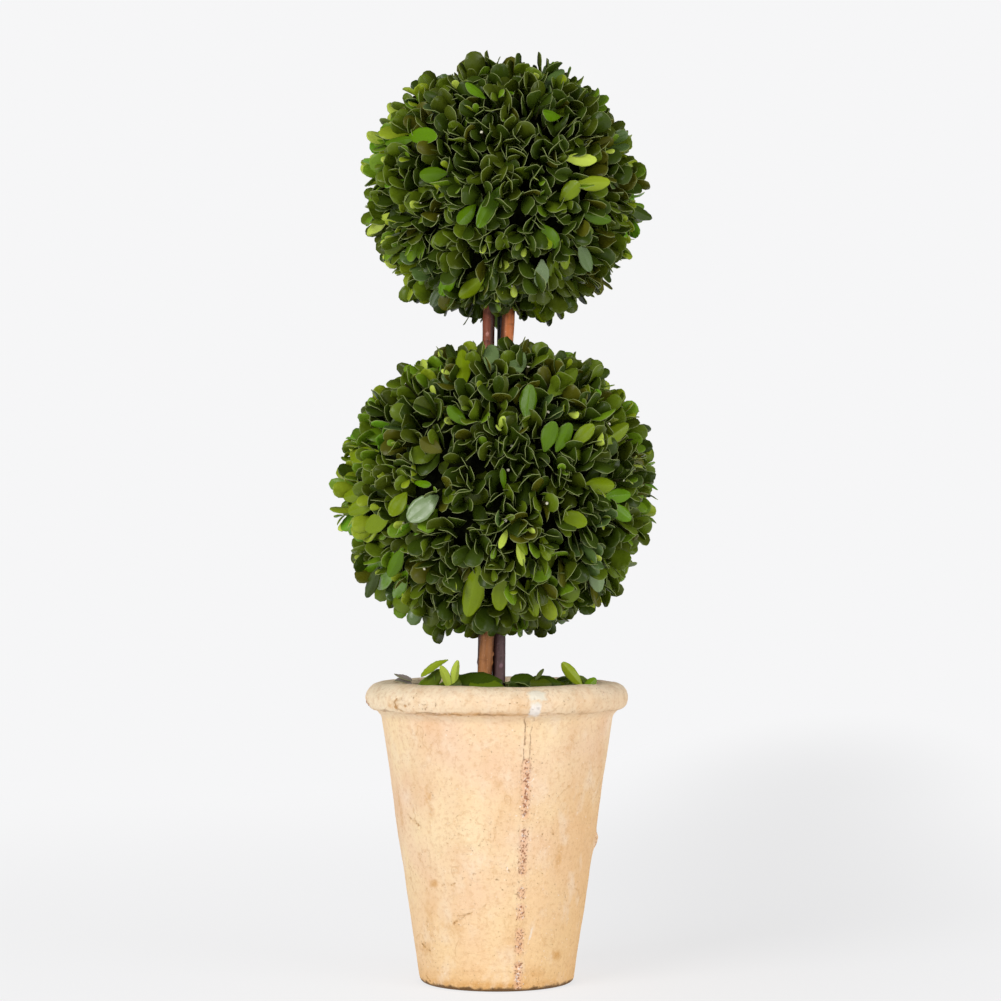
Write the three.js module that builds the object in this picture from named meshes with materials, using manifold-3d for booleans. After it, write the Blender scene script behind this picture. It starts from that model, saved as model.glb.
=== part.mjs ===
// A double-ball box topiary: two clipped balls of box foliage on three sticks, standing in a tapered
// earthenware pot. Millimetres, +Z up; the origin is the centre of the pot's flat underside.
import * as THREE from "three";
import { mergeVertices } from "three/addons/utils/BufferGeometryUtils.js";
import Module from "manifold-3d";

const wasm = await Module();
wasm.setup();

// ---------------------------------------------------------------- driving dimensions
const CLEARANCE = 0.3; // between pieces that sit against each other

const POT_HEIGHT = 162;
const POT_FOOT_RADIUS = 42;
const POT_FOOT_ROUND = 3; // the worn edge of the foot
const POT_NECK_RADIUS = 62.5; // just under the rolled rim
const POT_NECK_HEIGHT = 141;
const POT_WALL = 8;
const POT_FLOOR = 10;
const RIM_RADIUS = 71;
const RIM_ROLL = [9.5, 8.5]; // the rolled rim's half-width and half-height
const RIM_COVE = [6.6, 7]; // the cove that the wall flares into it by
const RIM_MOUTH_RADIUS = 54.5;
const RIM_MOUTH_ROUND = 3;
const POT_SIDES = 48;

const FOAM_TOP = 154; // top of the dry foam that fills the pot

// Each stick is straight. Its centre is given at two heights, in the gaps under the balls.
const LOW_GAP = 179;
const HIGH_GAP = 354;
const STICK_FOOT = 24; // lowest point, deep in the foam
const STICK_TOP = 452; // highest point, inside the upper ball
const STICK_SIDES = 12;
const STICKS = {
  stem_front: { low: [-5.9, -4.6], high: [5.8, -3.4], radius: [3.65, 3.3], colour: 0x8f603d },
  stem_right: { low: [1.3, 0.3], high: [3.2, 4.8], radius: [3.25, 3.1], colour: 0x57413f },
  stem_rear: { low: [-7.3, 3.1], high: [-4.9, -1.0], radius: [3.2, 3.0], colour: 0x7c4936 },
};

// Each ball: its centre, the half-width and half-height of its clipped outline, its sprigs, and the
// places where the shears cut deeper or less deep, each a direction and how far the outline moves.
const BALLS = {
  foliage_lower: {
    centre: [1.1, 0, 267], width: 86, height: 79.5, sprigs: 66, seed: 11,
    trims: [[[-0.88, 0, 0.47], -4.5], [[-0.3, 0, 0.95], -2.5], [[0.8, 0, 0.6], -3], [[0.75, 0, -0.66], -3]],
  },
  foliage_upper: {
    centre: [4.6, 0, 430.5], width: 74, height: 70.5, sprigs: 54, seed: 23,
    trims: [[[0.87, 0, 0.5], -5], [[0.2, 0, 0.98], -4], [[-0.7, 0, 0.7], -2.5], [[0.96, 0, -0.27], 3.5]],
  },
};
const TRIM_SPREAD = 0.42; // radians, how far round a trim reaches before it has faded
const SQUARENESS = 2.25; // 2 is a true ellipsoid; clipping leaves the shoulders a little fuller
const LUMPS = 0.018; // how far the clipping wanders in and out, as a share of the radius
const LEAF_STAND = 18; // how far the leaves stand out of the core
const LEAF_SINK = 5; // how deep their roots are in it
const LEAF_WIDTH = [12.8, 16.5]; // narrowest and widest
const LEAF_THICKNESS = 1.1;
const REACH_SPREAD = 0.05; // tips end this far in or out of the clipped outline
const TWIG_RADIUS = 1;
const TWIG_END = 6.3; // twigs end this far inside the clipped outline

const GOLDEN_ANGLE = Math.PI * (3 - Math.sqrt(5));

// ---------------------------------------------------------------- small helpers
const mix = (a, b, t) => a + (b - a) * t;
const vec = (list) => new THREE.Vector3(...list);

// A seeded stream of numbers from 0 to 1.
function stream(seed) {
  let state = seed;
  return () => {
    state = (state + 0x6d2b79f5) | 0;
    let t = Math.imul(state ^ (state >>> 15), 1 | state);
    t = (t + Math.imul(t ^ (t >>> 7), 61 | t)) ^ t;
    return ((t ^ (t >>> 14)) >>> 0) / 4294967296;
  };
}

function solidOf(geometry) {
  const bare = geometry.clone();
  for (const name of Object.keys(bare.attributes)) {
    if (name !== "position") bare.deleteAttribute(name);
  }
  const merged = mergeVertices(bare, 1e-4);
  const vertProperties = new Float32Array(merged.attributes.position.array);
  const triVerts = new Uint32Array(merged.index.array);
  return new wasm.Manifold(new wasm.Mesh({ numProp: 3, vertProperties, triVerts }));
}

function geometryOf(solid) {
  const mesh = solid.getMesh();
  const geometry = new THREE.BufferGeometry();
  geometry.setAttribute("position", new THREE.BufferAttribute(mesh.vertProperties, 3));
  geometry.setIndex(new THREE.BufferAttribute(mesh.triVerts, 1));
  geometry.computeVertexNormals();
  return geometry;
}

const fuse = (solids) => solids.reduce((whole, piece) => whole.add(piece));
const cut = (solid, cutters) => cutters.reduce((rest, cutter) => rest.subtract(cutter), solid);

// ---------------------------------------------------------------- pot
// The inner wall's radius at a height, parallel to the tapering outer wall.
function potInnerRadius(z) {
  const outer = mix(POT_FOOT_RADIUS, POT_NECK_RADIUS, z / POT_NECK_HEIGHT);
  return Math.min(outer - POT_WALL, RIM_MOUTH_RADIUS);
}

// Points along an arc of an ellipse, between two angles in degrees.
function arc(centre, halfSizes, from, to, steps) {
  return Array.from({ length: steps + 1 }, (_, step) => {
    const angle = THREE.MathUtils.degToRad(mix(from, to, step / steps));
    return [centre[0] + halfSizes[0] * Math.cos(angle), centre[1] + halfSizes[1] * Math.sin(angle)];
  });
}

// One closed profile, thrown round the axis: foot, tapered wall, rolled rim, inner wall and floor.
function potGeometry() {
  const footRounding = [POT_FOOT_ROUND, POT_FOOT_ROUND];
  const mouthRounding = [RIM_MOUTH_ROUND, RIM_MOUTH_ROUND];
  return latheAboutZ([
    [0, 0],
    ...arc([POT_FOOT_RADIUS - POT_FOOT_ROUND, POT_FOOT_ROUND], footRounding, -90, 0, 3),
    ...arc([POT_NECK_RADIUS + RIM_COVE[0], POT_NECK_HEIGHT], RIM_COVE, 180, 100, 4),
    ...arc([RIM_RADIUS - RIM_ROLL[0], POT_HEIGHT - RIM_ROLL[1]], RIM_ROLL, -40, 90, 7),
    ...arc([RIM_MOUTH_RADIUS + RIM_MOUTH_ROUND, POT_HEIGHT - RIM_MOUTH_ROUND], mouthRounding, 90, 180, 3),
    [potInnerRadius(POT_NECK_HEIGHT), POT_NECK_HEIGHT],
    [potInnerRadius(POT_FLOOR), POT_FLOOR],
    [0, POT_FLOOR],
  ]);
}

function latheAboutZ(profile) {
  const points = profile.map(([radius, z]) => new THREE.Vector2(radius, z));
  return new THREE.LatheGeometry(points, POT_SIDES).rotateX(Math.PI / 2);
}

// A round plug that fills the pot's inside between two heights.
function plugGeometry(bottom, top) {
  const inside = (z) => potInnerRadius(z) - CLEARANCE;
  const profile = [[0, bottom], [inside(bottom), bottom]];
  if (bottom < POT_NECK_HEIGHT && top > POT_NECK_HEIGHT) {
    profile.push([inside(POT_NECK_HEIGHT), POT_NECK_HEIGHT]);
  }
  profile.push([inside(top), top], [0, top]);
  return latheAboutZ(profile);
}

// ---------------------------------------------------------------- sticks
// A straight, tapering stick through its two stated centres; grown makes the cutter for its hole.
function stickGeometry({ low, high, radius }, grown = 0) {
  const share = (z) => (z - LOW_GAP) / (HIGH_GAP - LOW_GAP);
  const radiusAt = (z) => mix(radius[0], radius[1], share(z)) + grown;
  const length = STICK_TOP - STICK_FOOT + 2 * grown;
  const middle = (STICK_TOP + STICK_FOOT) / 2;
  const stick = new THREE.CylinderGeometry(
    radiusAt(STICK_TOP), radiusAt(STICK_FOOT), length, STICK_SIDES, 1,
  ).rotateX(Math.PI / 2);
  stick.translate(0, 0, middle);
  const points = stick.attributes.position;
  for (let i = 0; i < points.count; i++) {
    const t = share(points.getZ(i));
    points.setX(i, points.getX(i) + mix(low[0], high[0], t));
    points.setY(i, points.getY(i) + mix(low[1], high[1], t));
  }
  return stick;
}

// ---------------------------------------------------------------- leaves and sprigs
// One leaf of ten faces, lying along +X from its root at the origin: narrow at the root, widest past
// the middle and blunt at the tip. Length, width and thickness are 1, and Z is the blade's normal.
function unitLeafGeometry() {
  const outline = [[0, 0], [0.62, -0.5], [1, -0.2], [1, 0.2], [0.62, 0.5]];
  const middle = [0.6, 0];
  const positions = [];
  outline.forEach(([x, y], i) => {
    const [nextX, nextY] = outline[(i + 1) % outline.length];
    positions.push(x, y, 0, nextX, nextY, 0, ...middle, 0.5);
    positions.push(nextX, nextY, 0, x, y, 0, ...middle, -0.5);
  });
  const geometry = new THREE.BufferGeometry();
  geometry.setAttribute("position", new THREE.Float32BufferAttribute(positions, 3));
  return geometry;
}
const UNIT_LEAF = unitLeafGeometry();

// A leaf from root to tip, with its blade facing along normal.
function leafSolid(root, tip, normal, width) {
  const along = tip.clone().sub(root);
  const length = along.length();
  along.normalize();
  const across = normal.clone().cross(along).normalize();
  const facing = along.clone().cross(across);
  const place = new THREE.Matrix4().makeBasis(
    along.multiplyScalar(length),
    across.multiplyScalar(width),
    facing.multiplyScalar(LEAF_THICKNESS),
  ).setPosition(root);
  return solidOf(UNIT_LEAF.clone().applyMatrix4(place));
}

// A three-sided twig that tapers to a point.
function twigSolid(root, tip) {
  const along = tip.clone().sub(root);
  const cone = new THREE.ConeGeometry(TWIG_RADIUS, along.length(), 3).translate(0, along.length() / 2, 0);
  const turn = new THREE.Quaternion().setFromUnitVectors(new THREE.Vector3(0, 1, 0), along.normalize());
  return solidOf(cone.applyQuaternion(turn).translate(root.x, root.y, root.z));
}

// The distance from a ball's centre to its clipped outline in one direction.
function clippedRadius(ball, direction) {
  const flat = Math.hypot(direction.x, direction.y) / ball.width;
  const upright = Math.abs(direction.z) / ball.height;
  const even = (flat ** SQUARENESS + upright ** SQUARENESS) ** (-1 / SQUARENESS);
  const azimuth = Math.atan2(direction.y, direction.x);
  const lumps = Math.sin(3 * azimuth + ball.seed) + Math.sin(5 * direction.z + 2 * azimuth);
  const trimmed = ball.trims.reduce((sum, [toward, by]) => {
    const turned = direction.angleTo(vec(toward));
    return sum + by * Math.exp(-((turned / TRIM_SPREAD) ** 2));
  }, 0);
  return even * (1 + LUMPS * lumps * Math.hypot(direction.x, direction.y)) + trimmed;
}

// Headings spread evenly over a sphere, on a spiral.
function spiralHeading(index, count) {
  const z = 1 - (2 * (index + 0.5)) / count;
  const flat = Math.sqrt(1 - z * z);
  const azimuth = index * GOLDEN_ANGLE;
  return new THREE.Vector3(flat * Math.cos(azimuth), flat * Math.sin(azimuth), z);
}

// The leaves of a sprig lean away from its twig in two crossed pairs; angles are in degrees.
const SPRIG = [
  { side: 0, lean: 31, offset: 4.2 },
  { side: 180, lean: 31, offset: 4.2 },
  { side: 90, lean: 15, offset: 3.2 },
  { side: 270, lean: 15, offset: 3.2 },
];
const SIDE_SPREAD = 12; // each angle below is this far out, either way
const LEAN_SPREAD = 8;
const BLADE_ROLL = 30;

// One sprig: a twig and its leaves, from inside the core to the clipped outline.
function sprigPieces(ball, centre, heading, random) {
  const deg = THREE.MathUtils.degToRad;
  const either = (spread) => spread * (2 * random() - 1);
  const outline = clippedRadius(ball, heading);
  const root = heading.clone().multiplyScalar(outline - LEAF_STAND - LEAF_SINK);
  const twigTip = heading.clone().multiplyScalar(outline - TWIG_END);
  const pieces = [twigSolid(root.clone().add(centre), twigTip.add(centre))];
  const turn = random() * 2 * Math.PI;
  const helper = Math.abs(heading.z) < 0.9 ? vec([0, 0, 1]) : vec([1, 0, 0]);
  const sideways = helper.cross(heading).normalize();
  for (const { side, lean, offset } of SPRIG) {
    const away = sideways.clone().applyAxisAngle(heading, turn + deg(side + either(SIDE_SPREAD)));
    const angle = deg(lean + either(LEAN_SPREAD));
    const along = heading.clone().multiplyScalar(Math.cos(angle)).addScaledVector(away, Math.sin(angle));
    const leafRoot = root.clone().addScaledVector(away, offset);
    const reach = outline * (1 + either(REACH_SPREAD));
    const nearness = leafRoot.dot(along);
    const length = -nearness + Math.sqrt(nearness ** 2 + reach ** 2 - leafRoot.lengthSq());
    const leafTip = leafRoot.clone().addScaledVector(along, length);
    const normal = away.clone().applyAxisAngle(along, deg(either(BLADE_ROLL)));
    const width = mix(...LEAF_WIDTH, random());
    pieces.push(leafSolid(leafRoot.add(centre), leafTip.add(centre), normal, width));
  }
  return pieces;
}

const touchesAny = (piece, others) => others.some((other) => piece.intersect(other).volume() > 0);

// A clipped ball: a core with sprigs standing out of it all round, clear of the sticks.
function ballSolid(ball, stickHoles) {
  const centre = vec(ball.centre);
  const random = stream(ball.seed);
  const core = new THREE.IcosahedronGeometry(1, 3);
  const points = core.attributes.position;
  for (let i = 0; i < points.count; i++) {
    const direction = new THREE.Vector3().fromBufferAttribute(points, i).normalize();
    const radius = clippedRadius(ball, direction) - LEAF_STAND;
    points.setXYZ(i, ...direction.multiplyScalar(radius).add(centre).toArray());
  }
  const pieces = [cut(solidOf(core), stickHoles)];
  for (let i = 0; i < ball.sprigs; i++) {
    const sprig = sprigPieces(ball, centre, spiralHeading(i, ball.sprigs), random);
    pieces.push(...sprig.filter((piece) => !touchesAny(piece, stickHoles)));
  }
  return fuse(pieces);
}

// ---------------------------------------------------------------- leaf litter on the foam
const LITTER_THICKNESS = 3.5;
const LITTER_LEAVES = 20;
const LITTER_LEAF_LENGTH = 21;
const LITTER_LEAF_WIDTH = 12;
const LITTER_RING = [15, RIM_MOUTH_RADIUS - 11]; // how far from the axis the loose leaves lie
const LITTER_SINK = 1.5; // how deep their roots are in the mat
const LITTER_SWING = 63; // degrees, how far each is turned from lying along the ring, either way
const LITTER_RISE = [8, 35]; // degrees, from the flattest leaf to the steepest
// The leaves that stand highest over the front of the rim: root, tip, width and which way they face.
const STANDING_LEAVES = [
  { root: [-24, -36, 157], tip: [-29, -42, 173.5], width: 9, facing: [-0.7, -0.7, 0.1] }, // a twin pair
  { root: [-23, -36, 157], tip: [-21, -40, 176], width: 9, facing: [0.8, -0.5, 0.1] },
  { root: [-42, -34, 157], tip: [-29, -29, 173], width: 10, facing: [-0.3, -0.6, 0.7] },
  { root: [-23, -24, 157], tip: [-11, -20, 169.5], width: 11, facing: [-0.5, -0.7, 0.6] },
  { root: [-17, -31, 157], tip: [3, -29, 167], width: 11, facing: [0, -0.8, 0.6] },
  { root: [6, -31, 157], tip: [20, -29, 166], width: 11, facing: [0, -0.8, 0.6] },
  { root: [17, -29, 157], tip: [32, -30, 167], width: 11, facing: [0, -0.8, 0.6] },
  { root: [47, -20, 157], tip: [35, -30, 173], width: 9, facing: [-0.6, -0.7, 0.2] },
  { root: [-44, -24, 157], tip: [-30, -25, 168], width: 10, facing: [0, -0.8, 0.6] },
];

// Leaves glued over the foam: a thin mat that fills the mouth, with loose leaves rising out of it.
function litterSolid(stickHoles) {
  const random = stream(5);
  const bottom = FOAM_TOP + CLEARANCE;
  const top = bottom + LITTER_THICKNESS;
  const mat = cut(solidOf(plugGeometry(bottom, top)), stickHoles);
  const pieces = [];
  for (let i = 0; i < LITTER_LEAVES; i++) {
    const radius = mix(...LITTER_RING, Math.sqrt((i + 0.5) / LITTER_LEAVES));
    const azimuth = i * GOLDEN_ANGLE;
    const heading = azimuth + Math.PI / 2 + THREE.MathUtils.degToRad(LITTER_SWING) * (2 * random() - 1);
    const rise = THREE.MathUtils.degToRad(mix(...LITTER_RISE, random() ** 2));
    const along = new THREE.Vector3(Math.cos(heading), Math.sin(heading), Math.tan(rise)).normalize();
    const root = new THREE.Vector3(radius * Math.cos(azimuth), radius * Math.sin(azimuth), 0);
    root.addScaledVector(along, -LITTER_LEAF_LENGTH / 2).setZ(top - LITTER_SINK);
    const tip = root.clone().addScaledVector(along, LITTER_LEAF_LENGTH);
    const leaf = leafSolid(root, tip, new THREE.Vector3(0, 0, 1), LITTER_LEAF_WIDTH);
    pieces.push(leaf);
  }
  for (const { root, tip, width, facing } of STANDING_LEAVES) {
    pieces.push(leafSolid(vec(root), vec(tip), vec(facing), width));
  }
  return fuse([mat, ...pieces.filter((leaf) => !touchesAny(leaf, stickHoles))]);
}

// ---------------------------------------------------------------- the whole plant
const COLOURS = { pot: 0xe6c190, foam: 0x3a3226, leaves: 0x34401a, litter: 0x46561a };

function addPart(name, geometry, colour, roughness) {
  const material = new THREE.MeshStandardMaterial({ color: colour, roughness, metalness: 0 });
  const mesh = new THREE.Mesh(geometry, material);
  mesh.name = name;
  topiary.add(mesh);
}

const topiary = new THREE.Group();
topiary.name = "box_topiary";

const stickHoles = Object.values(STICKS).map((stick) => solidOf(stickGeometry(stick, CLEARANCE)));

addPart("pot", potGeometry(), COLOURS.pot, 0.85);

const foam = cut(solidOf(plugGeometry(POT_FLOOR + CLEARANCE, FOAM_TOP)), stickHoles);
addPart("pot_foam", geometryOf(foam), COLOURS.foam, 0.95);

for (const [name, stick] of Object.entries(STICKS)) {
  addPart(name, stickGeometry(stick), stick.colour, 0.5);
}
for (const [name, ball] of Object.entries(BALLS)) {
  addPart(name, geometryOf(ballSolid(ball, stickHoles)), COLOURS.leaves, 0.45);
}
addPart("leaf_litter", geometryOf(litterSolid(stickHoles)), COLOURS.litter, 0.45);

export default topiary;
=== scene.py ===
import math
import random

import bmesh
import bpy
import numpy as np
from mathutils import Matrix, Vector, noise


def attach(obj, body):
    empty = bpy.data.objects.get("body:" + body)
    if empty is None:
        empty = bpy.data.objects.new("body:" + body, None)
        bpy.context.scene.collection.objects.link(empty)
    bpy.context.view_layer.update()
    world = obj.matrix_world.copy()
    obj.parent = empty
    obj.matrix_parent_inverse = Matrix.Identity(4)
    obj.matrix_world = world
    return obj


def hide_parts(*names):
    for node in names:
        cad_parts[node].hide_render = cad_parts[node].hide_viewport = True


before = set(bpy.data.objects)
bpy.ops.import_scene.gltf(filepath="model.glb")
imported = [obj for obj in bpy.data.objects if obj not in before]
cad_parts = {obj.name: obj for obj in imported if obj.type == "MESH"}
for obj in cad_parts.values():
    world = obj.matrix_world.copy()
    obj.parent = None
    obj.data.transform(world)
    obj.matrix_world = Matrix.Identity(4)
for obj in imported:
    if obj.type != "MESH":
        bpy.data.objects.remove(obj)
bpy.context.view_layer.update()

MM = 0.001

# ------------------------ studio
# The plant stands on a pale floor that fades into a pale, even backdrop on every side. One large
# soft light hangs at the front left, a weaker one at the front right, and the room fills the rest.
# A painted shadow, a dim band, crosses the floor behind the plant, to its right.
BACKDROP = (0.922, 0.922, 0.930, 1)
ROOM_LIGHT = (0.42, 0.42, 0.42, 1)
ROOM_SHEEN = (0.06, 0.06, 0.06, 1)  # what of the room shows in waxy leaves
FLOOR_RADIUS = 3.0
FLOOR_SHADE = (0.93, 0.925, 0.93, 1)
FLOOR_GLOW = (0.82, 1.0)  # share of the backdrop's even tone, at the plant and at the floor's edge
FLOOR_FADE = (0.1, 1.2)
# The painted shadow on the floor: its place, turn and size, and how dark it is
PAINTED_SHADOW_BAND = {"Location": (0.26, 0.95, 0), "Rotation": (0, 0, math.radians(-9)), "Scale": (0.26, 1.7, 1)}
PAINTED_SHADOW_DEPTH = 0.25
LIGHTS = {  # place, size and power
    "key_light": ((-1.35, -1.65, 1.05), 1.3, 31), "fill_light": ((1.6, -1.35, 0.75), 1.4, 20),
}
LIGHT_TARGET = Vector((0, 0, 0.25))

CAMERA_PLACE = Vector((1.9 * MM, -1.509, 0.231))
CAMERA_TARGET = Vector((1.9 * MM, 0, 0.2607))
CAMERA_LENS = 99.6  # millimetres, on a sensor 36 wide

scene = bpy.context.scene
scene.view_settings.view_transform = "Standard"


def shade(code):
    """A colour as light, from its six-figure code."""
    parts = [int(code[i:i + 2], 16) / 255 for i in (0, 2, 4)]
    light = (c / 12.92 if c <= 0.04045 else ((c + 0.055) / 1.055) ** 2.4 for c in parts)
    return (*light, 1)


def finish_step(tree, kind, result, feeds=(), **settings):
    """One node's result. Each of its feeds is a value, a colour's code or another node's result."""
    node = tree.nodes.new("ShaderNode" + kind)
    for name, value in settings.items():
        setattr(node, name, value)
    for socket, value in dict(feeds).items():
        if isinstance(value, bpy.types.NodeSocket):
            tree.links.new(value, node.inputs[socket])
        else:
            node.inputs[socket].default_value = shade(value) if isinstance(value, str) else value
    return node.outputs[result]


def maths(kind, value, other=0.0):
    return finish_step(value.id_data, "Math", "Value", {0: value, 1: other}, operation=kind)


def limits(value, low, high, to_low=0.0, to_high=1.0, **settings):
    """The value stretched from one range to another, and held inside it."""
    feeds = {"Value": value, "From Min": low, "From Max": high, "To Min": to_low, "To Max": to_high}
    return finish_step(value.id_data, "MapRange", "Result", feeds, **settings)


def laid_over(under, over, amount):
    """One colour over another, by an amount from 0 to 1."""
    feeds = {"A": under, "B": over, "Factor": amount}
    return finish_step(amount.id_data, "Mix", "Result", feeds, data_type="RGBA")


def new_finish(name, colour, roughness, specular=0.5):
    finish = bpy.data.materials.new(name)
    finish.use_nodes = True
    surface = finish.node_tree.nodes["Principled BSDF"].inputs
    surface["Base Color"].default_value = shade(colour) if isinstance(colour, str) else colour
    surface["Roughness"].default_value = roughness
    surface["Specular IOR Level"].default_value = specular
    return finish


def mesh_of(name, shape):
    """The mesh of a finished shape."""
    mesh = bpy.data.meshes.new(name)
    shape.to_mesh(mesh)
    shape.free()
    return mesh


world = bpy.data.worlds.new("pale_room")
world.use_nodes = True
scene.world = world
air = world.node_tree
room = laid_over(ROOM_LIGHT, ROOM_SHEEN, finish_step(air, "LightPath", "Is Glossy Ray"))
room = laid_over(room, BACKDROP, finish_step(air, "LightPath", "Is Camera Ray"))
air.links.new(room, air.nodes["Background"].inputs["Color"])

floor_shape = bmesh.new()
bmesh.ops.create_circle(floor_shape, cap_ends=True, segments=96, radius=FLOOR_RADIUS)
floor_mesh = mesh_of("floor", floor_shape)
floor = bpy.data.objects.new("floor", floor_mesh)
scene.collection.objects.link(floor)

paper = new_finish("paper", FLOOR_SHADE, 0.9, 0.1)
sheet = paper.node_tree
spot = finish_step(sheet, "TexCoord", "Object")
away = finish_step(sheet, "VectorMath", "Value", {0: spot}, operation="LENGTH")
fade = limits(away, *FLOOR_FADE, *FLOOR_GLOW, interpolation_type="SMOOTHSTEP")
# Painted shadow: the floor is darkened in a band behind the plant, to its right.
in_shadow_band = finish_step(sheet, "Mapping", "Vector", {"Vector": spot, **PAINTED_SHADOW_BAND}, vector_type="TEXTURE")
away = finish_step(sheet, "VectorMath", "Value", {0: in_shadow_band}, operation="LENGTH")
painted_shadow = limits(away, 0, 1, PAINTED_SHADOW_DEPTH, 0, interpolation_type="SMOOTHSTEP")
lit = sheet.nodes["Principled BSDF"].outputs["BSDF"]
glow = finish_step(sheet, "Emission", "Emission", {"Color": BACKDROP})
both = finish_step(sheet, "MixShader", "Shader", {"Fac": maths("SUBTRACT", fade, painted_shadow), 1: lit, 2: glow})
sheet.links.new(both, sheet.nodes["Material Output"].inputs["Surface"])
floor_mesh.materials.append(paper)


def aimed(name, data, place, target):
    """A lamp or the camera at its place, turned to its target."""
    holder = bpy.data.objects.new(name, data)
    holder.location = place
    holder.rotation_euler = (target - holder.location).to_track_quat("-Z", "Y").to_euler()
    scene.collection.objects.link(holder)
    return holder


for name, (place, size, power) in LIGHTS.items():
    light = bpy.data.lights.new(name, "AREA")
    light.size, light.energy = size, power
    aimed(name, light, place, LIGHT_TARGET)
camera = bpy.data.cameras.new("camera")
camera.lens = CAMERA_LENS
scene.camera = aimed("camera", camera, CAMERA_PLACE, CAMERA_TARGET)

# ------------------------ pot
# An earthenware pot, pressed in a two-part mould and rolled over at the rim by hand. It is sold
# aged: the crumbly mould seam, a chipped rim, a plaster mend and rubbed ochre stains are left on it.
POT_HEIGHT = 162 * MM
POT_FOOT_RADIUS = 42 * MM
POT_FOOT_ROUND = 3 * MM
POT_NECK_RADIUS = 62.5 * MM
POT_NECK_HEIGHT = 141 * MM
POT_WALL = 8 * MM
POT_FLOOR = 10 * MM
RIM_RADIUS = 71 * MM
RIM_ROLL = (9.5 * MM, 8.5 * MM)
RIM_COVE = (6.6 * MM, 7 * MM)
RIM_MOUTH_RADIUS = 54.5 * MM
RIM_MOUTH_ROUND = 3 * MM
ROLL_FOOT = 147.9 * MM  # where the roll meets the cove under it
POT_STEPS = 400
POT_ROW = 1.15 * MM

# Places on the wall: an azimuth in degrees, to the right of the front, and a height in millimetres.
SEAM_AZIMUTH = 15.2
SEAM_HALF_WIDTH = 1.9
SEAM_TOP = 146
SEAM_PITS = [(94, 123), (64, 86), (51, 55), (40, 46), (22, 33), (2, 15)]  # lowest and highest
# Each of these with a half-width and a half-height in millimetres.
MENDS = [(17.5, 157.2, 5.2, 2.8), (16.6, 150.2, 3.6, 4.2)]
CHIP = (-86, 149.4, 10, 3.4)
KNOB = (90, 76, 2.6, 4.2)
# Creases in the slip: two ends, how deep, and how dark the dirt in it is.
CREASES = [
    ((-50, 123), (-35, 100), 0.2, 0.5), ((-64, 95), (-45, 86), 0.4, 0.9),
    ((-22, 84), (-40, 72), 0.22, 0.6), ((-7, 66), (-22, 59), 0.22, 0.7),
    ((-22, 59), (-39, 56), 0.26, 0.8), ((-15, 44), (-29, 36), 0.26, 0.9),
    ((-29, 36), (-34, 38), 0.16, 0.6), ((-66, 24), (-50, 20), 0.2, 0.9),
    ((33, 90), (33, 82), 0.2, 0.8), ((38, 79), (35, 64), 0.12, 0.5),
    ((-8, 115), (6, 109), 0.12, 0.4), ((-30, 68), (-18, 74), 0.12, 0.4),
    ((-51, 152.3), (-44, 156.3), 0.5, 1), ((-51, 152.3), (-44, 148.6), 0.45, 1),
    ((-51, 152.3), (-37, 152.4), 0.2, 0.8), ((-4, 24), (9, 27), 0.1, 0.3),
    ((-67, 5.5), (-58, 2.5), 0.3, 1),
]
CREASE_REACH = 5
SCORE = ((24.5, 36.5), (20.8, 24))  # one fresh scratch, still white
# Rubbed stains: azimuth, height, half-width, half-height, strength.
STAINS = [
    (46, 18, 5, 3, 1), (-58, 21, 7, 4, 0.7), (-39, 101, 3.5, 12, 0.7), (-68, 95, 4, 16, 0.6),
    (-42, 57, 3, 3, 0.9), (-31, 34, 9, 5, 0.5), (39, 71, 3, 9, 0.6), (3, 110, 7, 6, 0.35),
    (-20, 78, 12, 9, 0.3), (0, 3, 46, 3, 0.8), (-50, 36, 5, 18, 0.45), (-50, 152, 7, 3, 0.6),
    (-62, 156, 4, 4, 0.35), (-18, 158, 16, 2.5, 0.3), (32, 158, 14, 2, 0.3), (-12, 148, 34, 1.3, 0.8),
    (10, 40, 10, 8, 0.25), (-8, 120, 18, 8, 0.2), (60, 100, 6, 30, 0.25), (28, 10, 10, 5, 0.5),
    (-20, 12, 12, 5, 0.35), (150, 60, 14, 18, 0.5), (205, 110, 10, 22, 0.5), (110, 25, 12, 9, 0.6),
    (-120, 70, 8, 20, 0.5), (178, 20, 14, 6, 0.7), (130, 156, 14, 3, 0.6), (-150, 155, 18, 3, 0.6),
]


def grain(finish, scale, detail=3, stretch=(1, 1, 1), rough=0.55):
    """Noise on the piece's own coordinates, from 0 to 1."""
    tree = finish.node_tree
    place = finish_step(tree, "TexCoord", "Object")
    place = finish_step(tree, "Mapping", "Vector", {"Vector": place, "Scale": stretch})
    feeds = {"Vector": place, "Scale": scale, "Detail": detail, "Roughness": rough}
    return finish_step(tree, "TexNoise", "Fac", feeds)


def along(finish, direction):
    """How far a point lies along a direction, in metres."""
    tree = finish.node_tree
    feeds = {0: finish_step(tree, "TexCoord", "Object"), 1: direction}
    return finish_step(tree, "VectorMath", "Value", feeds, operation="DOT_PRODUCT")


def marked(finish, name):
    """How strongly a piece is marked, from a named attribute of its mesh."""
    return finish_step(finish.node_tree, "Attribute", "Fac", attribute_name=name)


def times(value, *others):
    """The value multiplied by each of the others in turn."""
    for other in others:
        value = maths("MULTIPLY", value, other)
    return value


def plus(value, other):
    return maths("ADD", value, other)


def thin_line(value, at, half_width, strength=1.0):
    """The strength where the value is at a number, falling to 0 a half-width away."""
    away = maths("ABSOLUTE", maths("SUBTRACT", value, at))
    return limits(away, 0.35 * half_width, half_width, strength, 0.0)


def given(socket, result):
    """Leads a result to its own finish's surface."""
    tree = result.id_data
    tree.links.new(result, tree.nodes["Principled BSDF"].inputs[socket])


def coloured(colour):
    given("Base Color", colour)


def roughened(roughness):
    given("Roughness", roughness)


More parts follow.
